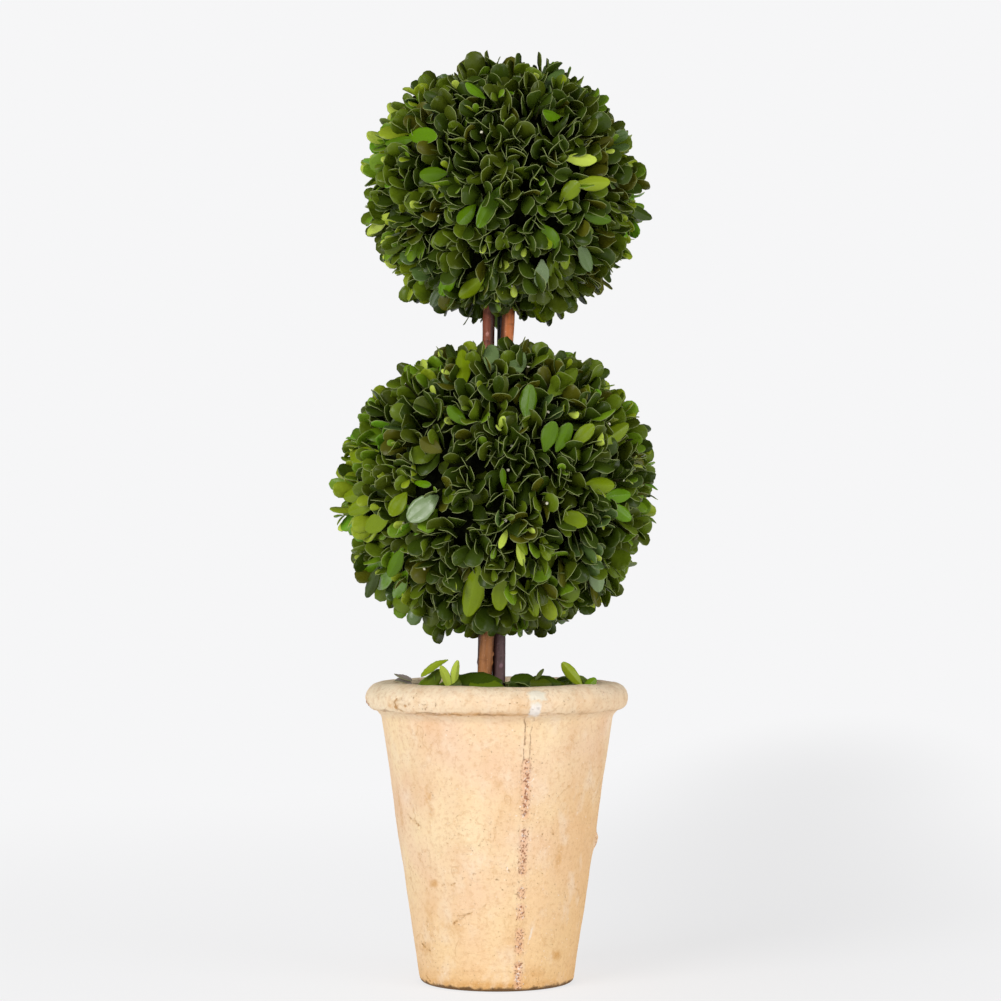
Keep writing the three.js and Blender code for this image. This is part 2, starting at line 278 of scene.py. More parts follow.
def relief(height, depth, strength=1.0):
    """Fine relief from a height from 0 to 1 that stands for a depth in metres."""
    feeds = {"Height": height, "Distance": depth, "Strength": strength}
    given("Normal", finish_step(height.id_data, "Bump", "Normal", feeds))


def add_piece(name, mesh, replaced=()):
    """A finished piece in the scene, riding on the plant's only body."""
    piece = bpy.data.objects.new(name, mesh)
    scene.collection.objects.link(piece)
    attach(piece, "root")
    if replaced:
        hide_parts(*replaced)


def mix(a, b, t):
    return a + (b - a) * t


def arc(centre, half_sizes, start, end, steps):
    """Points along an arc of an ellipse, between two angles in degrees."""
    turns = [math.radians(mix(start, end, step / steps)) for step in range(steps + 1)]
    return [
        (centre[0] + half_sizes[0] * math.cos(turn), centre[1] + half_sizes[1] * math.sin(turn))
        for turn in turns
    ]


def straight(start, end, step):
    """Points between two ends, a step apart, without the first."""
    count = max(1, round(math.dist(start, end) / step))
    shares = [i / count for i in range(1, count + 1)]
    return [(mix(start[0], end[0], share), mix(start[1], end[1], share)) for share in shares]


def thrown(profile, steps):
    """A profile of radius and height, spun round the upright axis into a closed shape."""
    shape = bmesh.new()
    verts = [shape.verts.new((radius, 0, height)) for radius, height in profile]
    edges = [shape.edges.new(pair) for pair in zip(verts, verts[1:])]
    bmesh.ops.spin(
        shape, geom=verts + edges, cent=(0, 0, 0), axis=(0, 0, 1), angle=2 * math.pi, steps=steps,
        use_merge=True,
    )
    bmesh.ops.remove_doubles(shape, verts=shape.verts, dist=0.01 * MM)
    bmesh.ops.recalc_face_normals(shape, faces=shape.faces)
    return shape


def inner_radius(height):
    outer = mix(POT_FOOT_RADIUS, POT_NECK_RADIUS, height / POT_NECK_HEIGHT)
    return min(outer - POT_WALL, RIM_MOUTH_RADIUS)


foot = arc((POT_FOOT_RADIUS - POT_FOOT_ROUND, POT_FOOT_ROUND), (POT_FOOT_ROUND,) * 2, -90, 0, 5)
cove = arc((POT_NECK_RADIUS + RIM_COVE[0], POT_NECK_HEIGHT), RIM_COVE, 180, 100, 8)
roll = arc((RIM_RADIUS - RIM_ROLL[0], POT_HEIGHT - RIM_ROLL[1]), RIM_ROLL, -40, 90, 22)
mouth_centre = (RIM_MOUTH_RADIUS + RIM_MOUTH_ROUND, POT_HEIGHT - RIM_MOUTH_ROUND)
mouth = arc(mouth_centre, (RIM_MOUTH_ROUND,) * 2, 90, 180, 5)
inner_neck = (inner_radius(POT_NECK_HEIGHT), POT_NECK_HEIGHT)
inner_foot = (inner_radius(POT_FLOOR), POT_FLOOR)
pot_shape = thrown([
    (0, 0), (20 * MM, 0), *foot,
    *straight(foot[-1], cove[0], POT_ROW), *cove[1:], *roll,
    *straight(roll[-1], mouth[0], 2 * POT_ROW), *mouth[1:],
    *straight(mouth[-1], inner_neck, 2 * POT_ROW),
    *straight(inner_neck, inner_foot, 14 * MM), (0, POT_FLOOR),
], POT_STEPS)


def uneven(place, size, seed=0.0):
    """Smooth noise from about -1 to 1, whose lumps have that size in millimetres."""
    return noise.noise(place / (size * MM) + Vector((seed, seed * 0.7, -seed)))


def near(value, half_width):
    """1 in the middle, falling softly to 0 a few half-widths away."""
    return math.exp(-((value / half_width) ** 2))


def patch(azimuth, height, radius, spot, squareness=2):
    """How far inside a named spot on the pot's wall a point is, from 0 to 1."""
    away = (azimuth - math.radians(spot[0]) + math.pi) % (2 * math.pi) - math.pi
    across, up = abs(away * radius / (spot[2] * MM)), abs(height - spot[1] * MM) / (spot[3] * MM)
    return near((across ** squareness + up ** squareness) ** (1 / squareness), 1)


def from_stroke(azimuth, height, radius, ends):
    """Millimetres from a stroke on the wall, and the share of its length passed there."""
    scale = radius / MM
    point = Vector((azimuth * scale, height / MM))
    start, end = (Vector((math.radians(spot[0]) * scale, spot[1])) for spot in ends)
    run = end - start
    share = min(1, max(0, (point - start).dot(run) / run.length_squared))
    return (point - start - run * share).length, share


marks = {"stain": [], "plaster": [], "grit": [], "crease": []}
for vert in pot_shape.verts:
    place = vert.co.copy()
    radius = max(place.xy.length, MM)
    level = place.z / MM
    stain = plaster = grit = crease = 0.0
    if radius > inner_radius(place.z) + 0.7 * POT_WALL or place.z > POT_NECK_HEIGHT + 2 * MM:
        outward = Vector((place.x / radius, place.y / radius, 0))
        azimuth = math.atan2(place.x, -place.y)
        hollow = 0.5 * uneven(place, 34) + 0.22 * uneven(place, 11, 3)
        hollow += 0.3 * noise.noise(Vector((outward.x * 5, outward.y * 5, place.z / (90 * MM))))
        hollow += 0.07 * uneven(place, 2.6, 7)
        on_rim = min(1, max(0, (place.z - 144 * MM) / (5 * MM)))
        hollow += on_rim * (0.8 * uneven(place, 17, 9) + 0.32 * uneven(place, 6, 5))
        hollow += on_rim * (0.6 + 0.2 * uneven(place, 2.4, 15))
        lift = on_rim * (0.75 * uneven(place, 26, 21) + 0.3 * uneven(place, 8, 2))
        roll_foot = ROLL_FOOT + 0.9 * MM * uneven(place, 14, 4)
        hollow -= 0.5 * near(place.z - roll_foot, 0.9 * MM) * (0.7 + uneven(place, 9, 8))

        seam = (azimuth - math.radians(SEAM_AZIMUTH)) * radius / MM
        in_pits = max(near(max(0, low - level, level - high), 2) for low, high in SEAM_PITS)
        crumble = near(seam, 3.1) * in_pits * (level < SEAM_TOP)
        hollow += 0.25 * near(seam, 2.2) * (level < SEAM_TOP)
        hollow -= crumble * (0.15 + 1.3 * max(0, uneven(place, 2.4, 13)))
        rim_grit = 0.45 * on_rim * max(0, 0.2 + 1.2 * uneven(place, 9, 33))
        grit = max(crumble, rim_grit, 0.05 + 0.35 * uneven(place, 16, 35))

        bend = Vector((uneven(place, 9, 61), uneven(place, 9, 67), 0)) * 1.7
        bent_azimuth = azimuth + bend.x * MM / radius
        bent_height = place.z + bend.y * MM
        for *ends, depth, dirt in CREASES:
            away, share = from_stroke(bent_azimuth, bent_height, radius, ends)
            if away < CREASE_REACH:
                taper = min(1, 5 * share + 0.3, 5 * (1 - share) + 0.3)
                hollow += depth * taper * (0.8 * near(away - 1.9, 1.1) - near(away, 0.9))
                crease = max(crease, near(away, 2.4) * (0.55 + 0.45 * dirt * taper))
                stain = max(stain, 0.4 * dirt * near(away, 1.6) * taper)
        away, share = from_stroke(azimuth, place.z, radius, SCORE)
        plaster = 0.5 * near(away, 1.0) * min(1, 6 * share, 6 * (1 - share))
        for spot in STAINS:
            stain = max(stain, spot[4] * patch(azimuth, place.z, radius, spot))
        for spot in MENDS:
            mended = patch(bent_azimuth, bent_height, radius, spot, 4)
            plaster = max(plaster, mended)
            hollow += 0.45 * max(0, min(1, (mended - 0.35) * 4)) * (0.8 + 0.5 * uneven(place, 3, 71))
        chipped = patch(azimuth, place.z, radius, CHIP)
        hollow -= chipped * (1.6 + 3.2 * uneven(place, 1.8, 31))
        stain = max(stain, 0.3 * chipped)
        grit = max(grit, 1.5 * chipped)
        knob = patch(azimuth, place.z, radius, KNOB)
        hollow += 1.9 * knob * (1 + 0.4 * uneven(place, 2, 43))
        grit = max(grit, 0.9 * near(knob - 0.45, 0.25) if knob > 0.15 else 0)
        vert.co += outward * hollow * MM * min(1, level / 3) + Vector((0, 0, lift * MM))
    for name, value in zip(marks, (stain, plaster, grit, crease)):
        marks[name].append(value)

pot_mesh = mesh_of("pot_ware", pot_shape)
for name, values in marks.items():
    pot_mesh.attributes.new(name, "FLOAT", "POINT").data.foreach_set("value", values)
pot_mesh.shade_smooth()

ware = new_finish("aged_earthenware", "f3d2b0", 0.85, 0.2)
height = along(ware, (0, 0, 1))
to_right = along(ware, (1, 0, 0))
on_roll = (height, 0.143, 0.149, 0)
# The rim's slip, lighter on its top: painted light where the balls above shade it.
rim_slip_lit_top = laid_over("f4d8b4", "ffe9ca", limits(height, 0.154, 0.16))
# Painted light on the left of the roll.
painted_light_left_rim = times(limits(to_right, -0.01, -0.06), limits(*on_roll, 0.75))
# Darker and more orange towards the right, below the neck.
right_low_tint = times(limits(to_right, 0.012, 0.045, 0, 0.6), limits(height, 0.13, 0.09))
crust = limits(grain(ware, 170, 5, (1, 1, 0.6), 0.65), 0.5, 0.62)
folds = thin_line(grain(ware, 46, 4, (1, 1, 0.8), 0.5), 0.5, 0.012)
folds = times(folds, limits(grain(ware, 40, 2), 0.48, 0.62))

ragged = limits(grain(ware, 260, 6, rough=0.7), 0.35, 0.65, 0.35, 1.5)
ripple = limits(grain(ware, 420, 4), 0.3, 0.7, -0.16, 0.16)
creases = limits(plus(marked(ware, "crease"), ripple), 0.86, 1.02)

wobble = limits(grain(ware, 110, 3), 0.3, 0.7, -0.0011, 0.0011)
turn = math.radians(SEAM_AZIMUTH)
across_seam = plus(along(ware, (math.cos(turn), math.sin(turn), 0)), wobble)
seam_edges = maths(
    "MAXIMUM", thin_line(across_seam, -SEAM_HALF_WIDTH * MM, 0.5 * MM),
    thin_line(across_seam, SEAM_HALF_WIDTH * MM, 0.45 * MM, 0.75),
)
in_front = limits(along(ware, (math.sin(turn), -math.cos(turn), 0)), 0.01, 0.02)
broken = limits(grain(ware, 380, 3), 0.4, 0.54)
below_roll = limits(height, 0.147, 0.144)
strongest_high = limits(height, 0.112, 0.124, 0.2, 1)
seam_lines = times(seam_edges, in_front, broken, below_roll, strongest_high)
# A brown line along the foot of the roll, partly painted shade under its overhang, and a groove there.
groove_and_shade_under_roll = thin_line(plus(height, wobble), ROLL_FOOT, 0.55 * MM)
groove_and_shade_under_roll = times(groove_and_shade_under_roll, limits(grain(ware, 120, 3), 0.38, 0.56))

crumbs = limits(marked(ware, "grit"), 0.35, 0.95, 0, 0.55)
pits = limits(plus(grain(ware, 900, 2), times(marked(ware, "grit"), 0.18)), 0.7, 0.78)
pit_shade = laid_over("b08048", "a05a38", limits(crumbs, 0.1, 0.4))
crumb_tops = plus(grain(ware, 640, 2), times(marked(ware, "grit"), 0.13))
# Dark along the very foot: partly grit and wear, partly painted shade where the pot meets the floor.
worn_and_shaded_foot = limits(grain(ware, 190, 4), 0.35, 0.7, -0.6, 0.3)
worn_and_shaded_foot = plus(limits(height, 0.004, 0.0004, 0, 1.7), worn_and_shaded_foot)
putty = laid_over("f6f0ea", "f2ebd8", limits(height, 0.152, 0.155))

slip = laid_over("f6d4b2", "fbe0b6", limits(grain(ware, 22, 3), 0.38, 0.62))
for colour, amount in (
    ("f2c99e", limits(grain(ware, 60, 2, (1, 1, 0.06)), 0.42, 0.66, 0, 0.4)),  # bands down the wall
    ("f6cd92", limits(height, 0.08, 0, 0, 0.65)),  # warmer towards the foot
    ("e2ab62", limits(height, 0.013, 0, 0, 0.55)),
    (rim_slip_lit_top, limits(*on_roll, 0.85)),
    ("ffeccc", painted_light_left_rim),
    ("efbf82", right_low_tint),
    ("c9a16c", times(crust, limits(height, 0.148, 0.153, 0, 0.22))),
    ("e6b47e", limits(grain(ware, 60, 5, (1, 1, 0.5)), 0.52, 0.72, 0, 0.4)),  # clouds
    ("fce6cc", limits(grain(ware, 85, 5, (1, 1, 0.6)), 0.54, 0.7, 0, 0.5)),  # pale bloom
    ("d8a672", limits(grain(ware, 420, 4), 0.5, 0.72, 0, 0.42)),  # mottle
    ("d19a5a", times(folds, 0.28)),
    ("d2984f", limits(times(marked(ware, "stain"), ragged), 0.15, 1, 0, 0.75)),
    ("b88448", times(creases, 0.75)),
    ("a87c5a", times(seam_lines, 0.65)),
    ("efb894", crumbs),
    ("a87c50", times(groove_and_shade_under_roll, limits(to_right, 0.03, 0, 0.3, 0.62))),
    (pit_shade, times(pits, 0.75)),
    ("fff0e4", limits(crumb_tops, 0.7, 0.78, 0, 0.7)),
    ("cc965f", limits(grain(ware, 700, 2), 0.64, 0.74, 0, 0.32)),  # freckles
    ("5e4226", limits(worn_and_shaded_foot, 0.3, 0.9, 0, 0.9)),
    (putty, limits(plus(marked(ware, "plaster"), ripple), 0.3, 0.62, 0, 0.85)),
):
    slip = laid_over(slip, colour, amount)
coloured(slip)
roughened(limits(grain(ware, 140, 3), 0.3, 0.7, 0.74, 0.95))
skin = plus(grain(ware, 700, 6, rough=0.75), times(folds, -0.25))
for groove, depth in ((pits, -0.7), (creases, -0.5), (seam_lines, -0.7), (groove_and_shade_under_roll, -0.4)):
    skin = plus(skin, times(groove, depth))
relief(skin, 0.8 * MM)
pot_mesh.materials.append(ware)
add_piece("pot_ware", pot_mesh, ["pot"])

# ------------------------ foam in the pot
# A plug of dry florist's foam, pushed into the pot and cut level, holds the sticks up. Leaves
# glued over it hide it, so it keeps its plain shape and only gets the foam's crumbly brown cells.
foam_finish = new_finish("dry_foam", "4a4030", 0.95, 0.1)
cells = grain(foam_finish, 700, 3)
coloured(laid_over("2b251b", "5b4f3a", limits(cells, 0.35, 0.65)))
relief(cells, 0.8 * MM)
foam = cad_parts["pot_foam"]
foam.data.materials.clear()
foam.data.materials.append(foam_finish)

# ------------------------ sticks
# Three natural sticks, cut from young shrub stems and left in their bark. They are pushed through
# both balls into the foam and lean across each other a little, with a slit of light between them.
LOW_GAP = 179 * MM
HIGH_GAP = 354 * MM
STICK_FOOT = 24 * MM
STICK_TOP = 452 * MM
STICK_SIDES = 32
STICK_RING = 1.6 * MM
# Centres and radii in millimetres at the two gaps, bark colours there, dark streaks, pale pores, how
# far to the left and right of the middle each stick's painted shade begins there, as a share of its
# radius, and knobs, each at an azimuth in degrees and a height in millimetres, with painted highlights.
STICKS = {
    "stem_front": {
        "low": (-5.9, -4.6), "high": (5.8, -3.4), "radius": (3.9, 3.45), "slot": "bark_brown",
        "bark": ("b4743f", "dc7c40"), "streak": "5c3018", "pore": "e8b48c", "seed": 1,
        "painted_shade_from": ((0.75, 0.7), (0.3, 0.85)),
        "knobs": [(-16, 177), (-14, 173), (40, 183), (-30, 349), (150, 190), (200, 166)],
    },
    "stem_right": {
        "low": (1.05, 0.3), "high": (3.2, 4.8), "radius": (3.55, 3.1), "slot": "bark_dark",
        # Its bark goes near-black towards the top, where it stands behind the others: painted shade.
        "bark": ("6a4c4c", "3a3a4a"), "streak": "241a1c", "pore": "96707a", "seed": 2,
        "painted_shade_from": ((0.55, 0.8), (0.3, 0.6)),
        "knobs": [(-70, 171), (120, 186), (30, 352)],
    },
    "stem_rear": {
        "low": (-7.3, 3.1), "high": (-4.6, -1.0), "radius": (3.2, 3.3), "slot": "bark_red",
        "bark": ("8c5a44", "a05438"), "streak": "3a1810", "pore": "d89484", "seed": 3,
        "painted_shade_from": ((0.5, 0.5), (0.85, 0.1)),
        "knobs": [(-100, 351), (60, 180), (170, 173)],
    },
}


def bark_finish(name, stick):
    """Thin, slightly shiny bark: long streaks of light and dark, small pale pores, painted shade on its sides
    and painted highlights on its knobs.
    """
    bark = new_finish(name, stick["bark"][0], 0.45, 0.4)
    painted_shading = marked(bark, "painted_shade_and_glint")
    streaks = limits(grain(bark, 420, 4, (1, 1, 0.12)), 0.5, 0.66, 0, 0.5)
    rings = limits(grain(bark, 260, 3, (0.5, 0.5, 1)), 0.56, 0.72, 0, 0.5)
    pores = limits(grain(bark, 1100, 2, (1, 1, 0.7)), 0.64, 0.72, 0, 0.7)
    skin = laid_over(*stick["bark"], limits(along(bark, (0, 0, 1)), LOW_GAP, HIGH_GAP))
    # Painted shade darkens the sides in the streak colour; painted highlights lighten the knobs in the pore
    # colour.
    for colour, amount in (
        ("streak", limits(painted_shading, 0, 1)), ("pore", limits(painted_shading, -0.2, -0.8)),
        ("streak", streaks), ("streak", rings), ("pore", pores),
    ):
        skin = laid_over(skin, stick[colour], amount)
    coloured(skin)
    roughened(limits(streaks, 0, 1, 0.5, 0.34))
    relief(grain(bark, 520, 5, (1, 1, 0.15)), 0.4 * MM, 0.8)
    return bark


for name, stick in STICKS.items():
    bottom, top = (1 * MM, STICK_FOOT), (1 * MM, STICK_TOP)
    shape = thrown([(0, STICK_FOOT), bottom, *straight(bottom, top, STICK_RING), (0, STICK_TOP)], STICK_SIDES)
    painted_shade_and_glint = []
    for vert in shape.verts:
        height = vert.co.z
        side = Vector((vert.co.x, vert.co.y, 0)) / MM
        share = (height - LOW_GAP) / (HIGH_GAP - LOW_GAP)
        # Painted shade on the stick's sides, from where it begins towards the edge seen from the front.
        painted_shade_from = [mix(low, high, share) for low, high in zip(*stick["painted_shade_from"])][side.x > 0]
        ragged = 0.12 * noise.noise((2 * side.x, 2 * side.y, height / (5 * MM) + stick["seed"]))
        painted_shade_and_glint.append(min(0.92, max(0, (abs(side.x) + ragged - painted_shade_from) * 3)))
        ring = Vector((stick["seed"], 0, height / (5 * MM)))
        swell = mix(*stick["radius"], share) + 0.1 * noise.noise(ring)
        swell += 0.16 * noise.noise(side * 2.2 + Vector((0, 0, height / (22 * MM) + stick["seed"])))
        swell += 0.07 * noise.noise(side * 7 + Vector((0, 0, height / (9 * MM))))
        for knob_turn, knob_height in stick["knobs"]:
            aside = math.atan2(side.y, side.x) - math.radians(knob_turn)
            aside = (aside + math.pi) % (2 * math.pi) - math.pi
            knob = near(math.hypot(aside * 3.3, (height / MM - knob_height) / 1.1), 0.9)
            swell += 0.7 * knob
            # a painted highlight on the knob
            painted_shade_and_glint[-1] -= 1.5 * knob
        slow = height / (60 * MM)
        sway = Vector((noise.noise((stick["seed"], slow, 0)), noise.noise((0, slow, stick["seed"])), 0))
        centre = Vector((*(mix(a, b, share) * MM for a, b in zip(stick["low"], stick["high"])), height))
        vert.co = centre + (0.25 * sway + side * swell) * MM
    mesh = mesh_of(name + "_bark", shape)
    mesh.attributes.new("painted_shade_and_glint", "FLOAT", "POINT").data.foreach_set("value", painted_shade_and_glint)
    mesh.polygons.foreach_set("use_smooth", [len(face.vertices) == 4 for face in mesh.polygons])
    mesh.materials.append(bark_finish(name + "_bark", stick))
    add_piece(name + "_bark", mesh, [name])

# ------------------------ cores of the balls
# Each ball is a foam ball, threaded on the sticks and painted dark, that the cut sprigs are pushed
# into. It lies a leaf's length under the clipped outline and shows only as darkness between them: its
# near-black is also painted shade.
# A trim is a direction and how far, in millimetres, the shears left the outline in or out there, and
# a bare place is where no leaf ends, so that a stick or a leaf under it shows.
BALLS = {
    "lower": {
        "centre": (1.1, 0, 267), "width": 86, "height": 79.5, "seed": 11, "node": "foliage_lower",
        "bare": [((-38, -77, 4), 8), ((-37, -78, -14), 7)],
        "trims": [
            ((-0.88, 0, 0.47), -4.5), ((-0.3, 0, 0.95), -2.5), ((0.8, 0, 0.6), -3), ((0.75, 0, -0.66), -3),
        ],
    },
    "upper": {
        "centre": (4.6, 0, 430.5), "width": 74, "height": 70.5, "seed": 23, "node": "foliage_upper",
        "bare": [((-10, -8, -72), 8)],
        "trims": [
            ((0.87, 0, 0.5), -6.5), ((0.2, 0, 0.98), -5), ((-0.7, 0, 0.7), -2.5), ((0.96, 0, -0.27), 3.5),
        ],
    },
}
TRIM_SPREAD = 0.42
SQUARENESS = 2.25
LUMPS = 0.018
LEAF_STAND = 18


def clipped_radius(ball, heading):
    """The distance in millimetres from a ball's centre to its clipped outline."""
    flat = math.hypot(heading.x, heading.y)
    even = ((flat / ball["width"]) ** SQUARENESS + (abs(heading.z) / ball["height"]) ** SQUARENESS)
    azimuth = math.atan2(heading.y, heading.x)
    lumps = math.sin(3 * azimuth + ball["seed"]) + math.sin(5 * heading.z + 2 * azimuth)
    trimmed = sum(
        by * math.exp(-((heading.angle(Vector(toward)) / TRIM_SPREAD) ** 2)) for toward, by in ball["trims"]
    )
    return even ** (-1 / SQUARENESS) * (1 + LUMPS * lumps * flat) + trimmed


core_finish = new_finish("dark_core_and_shade", "0e0f07", 0.95, 0.02)
moss = grain(core_finish, 300, 4)
coloured(laid_over("0b0c06", "191c0c", limits(moss, 0.4, 0.62)))
relief(moss, 1.5 * MM)
for name, ball in BALLS.items():
    shape = bmesh.new()
    bmesh.ops.create_icosphere(shape, subdivisions=5, radius=1)
    for vert in shape.verts:
        heading = vert.co.normalized()
        depth = clipped_radius(ball, heading) - LEAF_STAND + 0.8 * noise.noise(heading * 9)
        vert.co = (Vector(ball["centre"]) + heading * depth) * MM
    mesh = mesh_of("core_" + name, shape)
    mesh.shade_smooth()
    mesh.materials.append(core_finish)
    add_piece("core_" + name, mesh)

# ------------------------ leaves
# Box leaves, preserved and dyed so that they stay green and supple: small thick spoons with a
# rounded or notched tip, cupped one way or the other, and a pale thin edge that is partly painted highlight.
LEAF_THICKNESS = 0.26
LEAF_EDGE = 0.05  # how much of the pale edge shows from the front
BLADE_STATIONS = [0, 0.12, 0.34, 0.58, 0.78, 0.93, 1]
SPOON_WIDTHS = [0.12, 0.26, 0.7, 0.97, 0.96, 0.66, 0.24]
OVAL_WIDTHS = [0.12, 0.4, 0.84, 1, 0.84, 0.48, 0.14]
TIP_ROUND = 0.018

LEAF_GREENS = {
    "olive": "48540f", "dark": "38490d", "brown": "545510", "mid": "5d7014",
    "light": "6a8a18", "yellow": "8c9e20", "bright": "68981c", "lime": "b6c84c",
    "blue": "546c34", "sheen": "6e8452", "dry": "80766e", "grass": "507006",
    "moss": "70840a", "fresh": "5e8608",
}
GREEN_NAMES = list(LEAF_GREENS)
EDGE_SLOT = len(GREEN_NAMES)
PLAIN_WAX = 0.22
WAXY = {"blue": 0.6, "sheen": 0.7}  # these catch more light than the rest


def leaf_finish(name, code, specular, roughness=0.32):
    """A waxy leaf: one plain colour, with patches where the wax is rubbed dull."""
    finish = new_finish(name, code, roughness, specular)
    roughened(limits(grain(finish, 240, 2), 0.35, 0.65, roughness - 0.07, roughness + 0.09))
    return finish


leaf_finishes = [
    leaf_finish("leaf_" + name, code, WAXY.get(name, PLAIN_WAX)) for name, code in LEAF_GREENS.items()
]
# The pale edge: partly the leaf's own margin, partly painted highlight along the rims.
leaf_finishes.append(leaf_finish("leaf_edge", "858e5a", 0.07, 0.6))

RIB_HALF = 0.07  # the midrib's half-width, as a share of the leaf's


def unit_blade(spans, columns, widths):
    """One leaf, flat: where its vertices lie along, across and through it, and its faces by kind."""
    shape = bmesh.new()
    bmesh.ops.create_grid(shape, x_segments=spans, y_segments=len(columns) - 1, size=1)
    bmesh.ops.solidify(shape, geom=shape.faces[:], thickness=1)
    shape.normal_update()
    on_edge = np.array([abs(face.normal.z) < 0.5 for face in shape.faces])
    faces = np.array([[vert.index for vert in face.verts] for face in shape.faces])
    points = np.array([vert.co for vert in shape.verts])
    shape.free()
    share = (points[:, 0] + 1) / 2
    column = np.rint((points[:, 1] + 1) / 2 * (len(columns) - 1)).astype(int)
    side = np.array(columns)[column]
    at_tip = np.isclose(share, 1)
    through = (points[:, 2] > points[:, 2].mean()).astype(float)
    lengthways = np.interp(share, np.linspace(0, 1, len(BLADE_STATIONS)), BLADE_STATIONS)
    sideways = np.interp(lengthways, BLADE_STATIONS, widths) * side
    lengthways = lengthways - TIP_ROUND * at_tip * np.abs(side)
    return {
        "along": lengthways, "across": sideways, "side": side, "through": through,
        "tip_middle": at_tip & (np.abs(side) <= RIB_HALF), "faces": faces, "on_edge": on_edge,
    }


PLAIN_BLADE = unit_blade(6, [-1, 0, 1], SPOON_WIDTHS)
SHOWY_BLADE = unit_blade(24, [-1, -0.72, -0.4, -RIB_HALF, RIB_HALF, 0.4, 0.72, 1], OVAL_WIDTHS)
VEINS = 7  # side veins down each half of a showy leaf, raised a little
VEIN_HEIGHT = 0.13
VEIN_SLANT = 0.22


def leaf(root, tip, facing, width, green, fold=0.12, curl=-0.08, twist=0.0, notch=0.01):
    """One leaf, in millimetres: from root to tip, facing one way, cupped across and along."""
    run = Vector(tip) - Vector(root)
    return {
        "root": Vector(root), "axis": run.normalized(), "facing": Vector(facing), "length": run.length,
        "width": width, "green": GREEN_NAMES.index(green), "fold": fold, "curl": curl, "twist": twist,
        "notch": notch,
    }


def leaves_mesh(name, leaves, blade=PLAIN_BLADE, vein_height=0.0):
    """All leaves of a piece in one mesh."""
    along, across, side, through = (blade[key] for key in ("along", "across", "side", "through"))
    gathered = {key: np.array([item[key] for item in leaves], float) for key in leaves[0]}
    root, axis, facing = gathered["root"], gathered["axis"], gathered["facing"]
    aside = np.cross(facing, axis)
    aside /= np.linalg.norm(aside, axis=1, keepdims=True)
    facing = np.cross(axis, aside)
    length, half, fold, curl, twist, notch = (
        gathered[key][:, None] for key in ("length", "width", "fold", "curl", "twist", "notch")
    )
    half = half / 2
    edge = np.minimum(LEAF_EDGE, 0.5 * np.abs(across) * half) * np.sign(across) * through
    x = length * (along - notch * blade["tip_middle"])
    y = half * across - edge
    z = LEAF_THICKNESS * through + fold * half * (0.4 * np.abs(across) + 0.6 * across ** 2) * np.sign(half)
    z = z + curl * length * along ** 2 + 0.12 * half * np.abs(across) * np.sin(7 * along + 9 * twist)
    veins = np.cos(2 * math.pi * VEINS * (along - VEIN_SLANT * np.abs(side)))
    z = z + vein_height * (veins * (np.abs(side) > RIB_HALF) + 3 * (np.abs(side) <= RIB_HALF))
    turn = twist * along
    y, z = y * np.cos(turn) - z * np.sin(turn), y * np.sin(turn) + z * np.cos(turn)
    points = root[:, None] + x[..., None] * axis[:, None]
    points += y[..., None] * aside[:, None] + z[..., None] * facing[:, None]
    first_corners = np.arange(len(leaves))[:, None, None] * len(along)
    mesh = bpy.data.meshes.new(name)
    mesh.from_pydata((points * MM).reshape(-1, 3), (), (first_corners + blade["faces"]).reshape(-1, 4))
    mesh.polygons.foreach_set("use_smooth", np.tile(~blade["on_edge"], len(leaves)))
    slots = np.where(blade["on_edge"], EDGE_SLOT, gathered["green"][:, None])
    mesh.polygons.foreach_set("material_index", slots.ravel().astype(np.int32))
    for finish in leaf_finishes:
        mesh.materials.append(finish)
    return mesh


